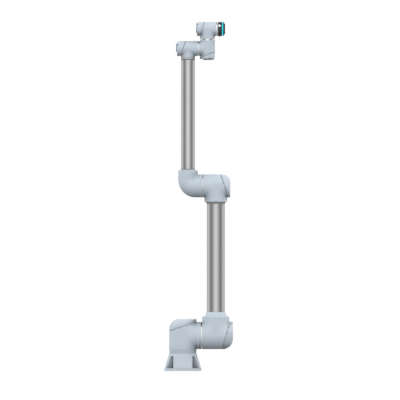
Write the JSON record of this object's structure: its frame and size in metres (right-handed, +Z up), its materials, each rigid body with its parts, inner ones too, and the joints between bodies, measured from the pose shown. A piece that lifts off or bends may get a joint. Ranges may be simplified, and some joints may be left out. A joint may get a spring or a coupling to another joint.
{
  "type": "collaborative robot arm",
  "caption": "Upright collaborative robot arm with a flared bolt-down foot, round link tubes, cast joint housings with slanted end caps, a lit tool head and a bolted tool flange.",
  "frame": {"origin": "centre of the foot's underside", "axes": "+Z up along the base joint's axis; +X the way the shoulder joint and the tool face point; the arm stands straight up in the XZ plane"},
  "size_m": [0.4016, 0.2152, 2.0485],
  "materials": {
    "body_paint": "satin grey-blue powder coat on cast aluminium",
    "tube_metal": "drawn and clear-anodised aluminium tube, satin",
    "polished_ring": "turned and polished",
    "black_plastic": "moulded, fine texture",
    "tool_plate": "black anodised",
    "light_ring": "frosted light guide, lit cyan",
    "white_plastic": "moulded",
    "gear_steel": "ground steel",
    "motor_core": "laminated core with copper windings",
    "circuit_board": "coated circuit board"
  },
  "bodies": {
    "base": {"base_foot": "body_paint", "base_cable_socket": "black_plastic", "base_joint_output_flange": "body_paint", "base_joint_flexspline": "gear_steel"},
    "shoulder": {"shoulder_housing": "body_paint", "base_joint_gear_unit": "gear_steel", "base_joint_motor_stator": "motor_core", "base_joint_drive_board": "circuit_board", "base_joint_end_cap": "body_paint", "shoulder_joint_output_flange": "polished_ring", "shoulder_joint_flexspline": "gear_steel"},
    "upper_arm": {"upper_arm_base_housing": "body_paint", "upper_arm_tube": "tube_metal", "upper_arm_collar": "tube_metal", "elbow_housing": "body_paint", "shoulder_joint_gear_unit": "gear_steel", "shoulder_joint_motor_stator": "motor_core", "shoulder_joint_drive_board": "circuit_board", "shoulder_joint_end_cap": "body_paint", "elbow_joint_gear_unit": "gear_steel", "elbow_joint_motor_stator": "motor_core", "elbow_joint_drive_board": "circuit_board", "elbow_joint_end_cap": "body_paint"},
    "forearm": {"forearm_bend": "body_paint", "forearm_tube": "tube_metal", "forearm_collar": "tube_metal", "wrist_1_housing": "body_paint", "elbow_joint_output_flange": "polished_ring", "elbow_joint_flexspline": "gear_steel", "wrist_1_joint_gear_unit": "gear_steel", "wrist_1_joint_motor_stator": "motor_core", "wrist_1_joint_drive_board": "circuit_board", "wrist_1_joint_end_cap": "body_paint"},
    "wrist_1": {"wrist_2_housing": "body_paint", "wrist_1_joint_output_flange": "polished_ring", "wrist_1_joint_flexspline": "gear_steel", "wrist_2_joint_gear_unit": "gear_steel", "wrist_2_joint_motor_stator": "motor_core", "wrist_2_joint_drive_board": "circuit_board", "wrist_2_joint_end_cap": "body_paint"},
    "wrist_2": {"wrist_3_housing": "body_paint", "wrist_2_joint_output_flange": "polished_ring", "wrist_2_joint_flexspline": "gear_steel", "wrist_3_joint_gear_unit": "gear_steel", "wrist_3_joint_motor_stator": "motor_core", "wrist_3_joint_drive_board": "circuit_board", "wrist_3_joint_end_cap": "body_paint"},
    "tool": {"tool_head": "black_plastic", "tool_light_ring": "light_ring", "tool_flange": "tool_plate", "tool_connector": "black_plastic", "wrist_3_joint_output_flange": "polished_ring", "wrist_3_joint_flexspline": "gear_steel"},
    "teach_button": {"teach_button": "white_plastic"},
    "base_rotor": {"base_joint_motor_shaft": "gear_steel"},
    "shoulder_rotor": {"shoulder_joint_motor_shaft": "gear_steel"},
    "elbow_rotor": {"elbow_joint_motor_shaft": "gear_steel"},
    "wrist_1_rotor": {"wrist_1_joint_motor_shaft": "gear_steel"},
    "wrist_2_rotor": {"wrist_2_joint_motor_shaft": "gear_steel"},
    "wrist_3_rotor": {"wrist_3_joint_motor_shaft": "gear_steel"}
  },
  "joints": [
    {"name": "base_turn", "type": "hinge", "parent": "base", "child": "shoulder", "pos_m": [0, 0, 0.1215], "axis": [0, 0, 1], "range_deg": [-360, 360]},
    {"name": "shoulder_turn", "type": "hinge", "parent": "shoulder", "child": "upper_arm", "pos_m": [0.1127, 0, 0.2084], "axis": [1, 0, 0], "range_deg": [-360, 360]},
    {"name": "elbow_turn", "type": "hinge", "parent": "upper_arm", "child": "forearm", "pos_m": [0.1186, 0, 1.0864], "axis": [1, 0, 0], "range_deg": [-160, 160]},
    {"name": "wrist_1_turn", "type": "hinge", "parent": "forearm", "child": "wrist_1", "pos_m": [0.088, 0, 1.893], "axis": [1, 0, 0], "range_deg": [-360, 360]},
    {"name": "wrist_2_turn", "type": "hinge", "parent": "wrist_1", "child": "wrist_2", "pos_m": [0.144, 0, 1.9406], "axis": [0, 0, 1], "range_deg": [-360, 360]},
    {"name": "wrist_3_turn", "type": "hinge", "parent": "wrist_2", "child": "tool", "pos_m": [0.1937, 0, 2.0075], "axis": [1, 0, 0], "range_deg": [-360, 360]},
    {"name": "base_motor_spin", "type": "hinge", "parent": "shoulder", "child": "base_rotor", "pos_m": [0, 0, 0.1215], "axis": [0, 0, 1], "range_deg": [-36000, 36000]},
    {"name": "shoulder_motor_spin", "type": "hinge", "parent": "upper_arm", "child": "shoulder_rotor", "pos_m": [0.1127, 0, 0.2084], "axis": [1, 0, 0], "range_deg": [-36000, 36000]},
    {"name": "elbow_motor_spin", "type": "hinge", "parent": "upper_arm", "child": "elbow_rotor", "pos_m": [0.1186, 0, 1.0864], "axis": [1, 0, 0], "range_deg": [-16000, 16000]},
    {"name": "wrist_1_motor_spin", "type": "hinge", "parent": "forearm", "child": "wrist_1_rotor", "pos_m": [0.088, 0, 1.893], "axis": [1, 0, 0], "range_deg": [-36000, 36000]},
    {"name": "wrist_2_motor_spin", "type": "hinge", "parent": "wrist_1", "child": "wrist_2_rotor", "pos_m": [0.144, 0, 1.9406], "axis": [0, 0, 1], "range_deg": [-36000, 36000]},
    {"name": "wrist_3_motor_spin", "type": "hinge", "parent": "wrist_2", "child": "wrist_3_rotor", "pos_m": [0.1937, 0, 2.0075], "axis": [1, 0, 0], "range_deg": [-36000, 36000]},
    {"name": "teach_button_press", "type": "slide", "parent": "tool", "child": "teach_button", "axis": [0, 0.8746, -0.4848], "range_m": [0, 0.0015], "stiffness_N_per_m": 800, "springref_m": -0.001}
  ],
  "couplings": [
    {"joint": "base_motor_spin", "follows": "base_turn", "ratio": 100},
    {"joint": "shoulder_motor_spin", "follows": "shoulder_turn", "ratio": 100},
    {"joint": "elbow_motor_spin", "follows": "elbow_turn", "ratio": -100},
    {"joint": "wrist_1_motor_spin", "follows": "wrist_1_turn", "ratio": -100},
    {"joint": "wrist_2_motor_spin", "follows": "wrist_2_turn", "ratio": -100},
    {"joint": "wrist_3_motor_spin", "follows": "wrist_3_turn", "ratio": -100}
  ]
}
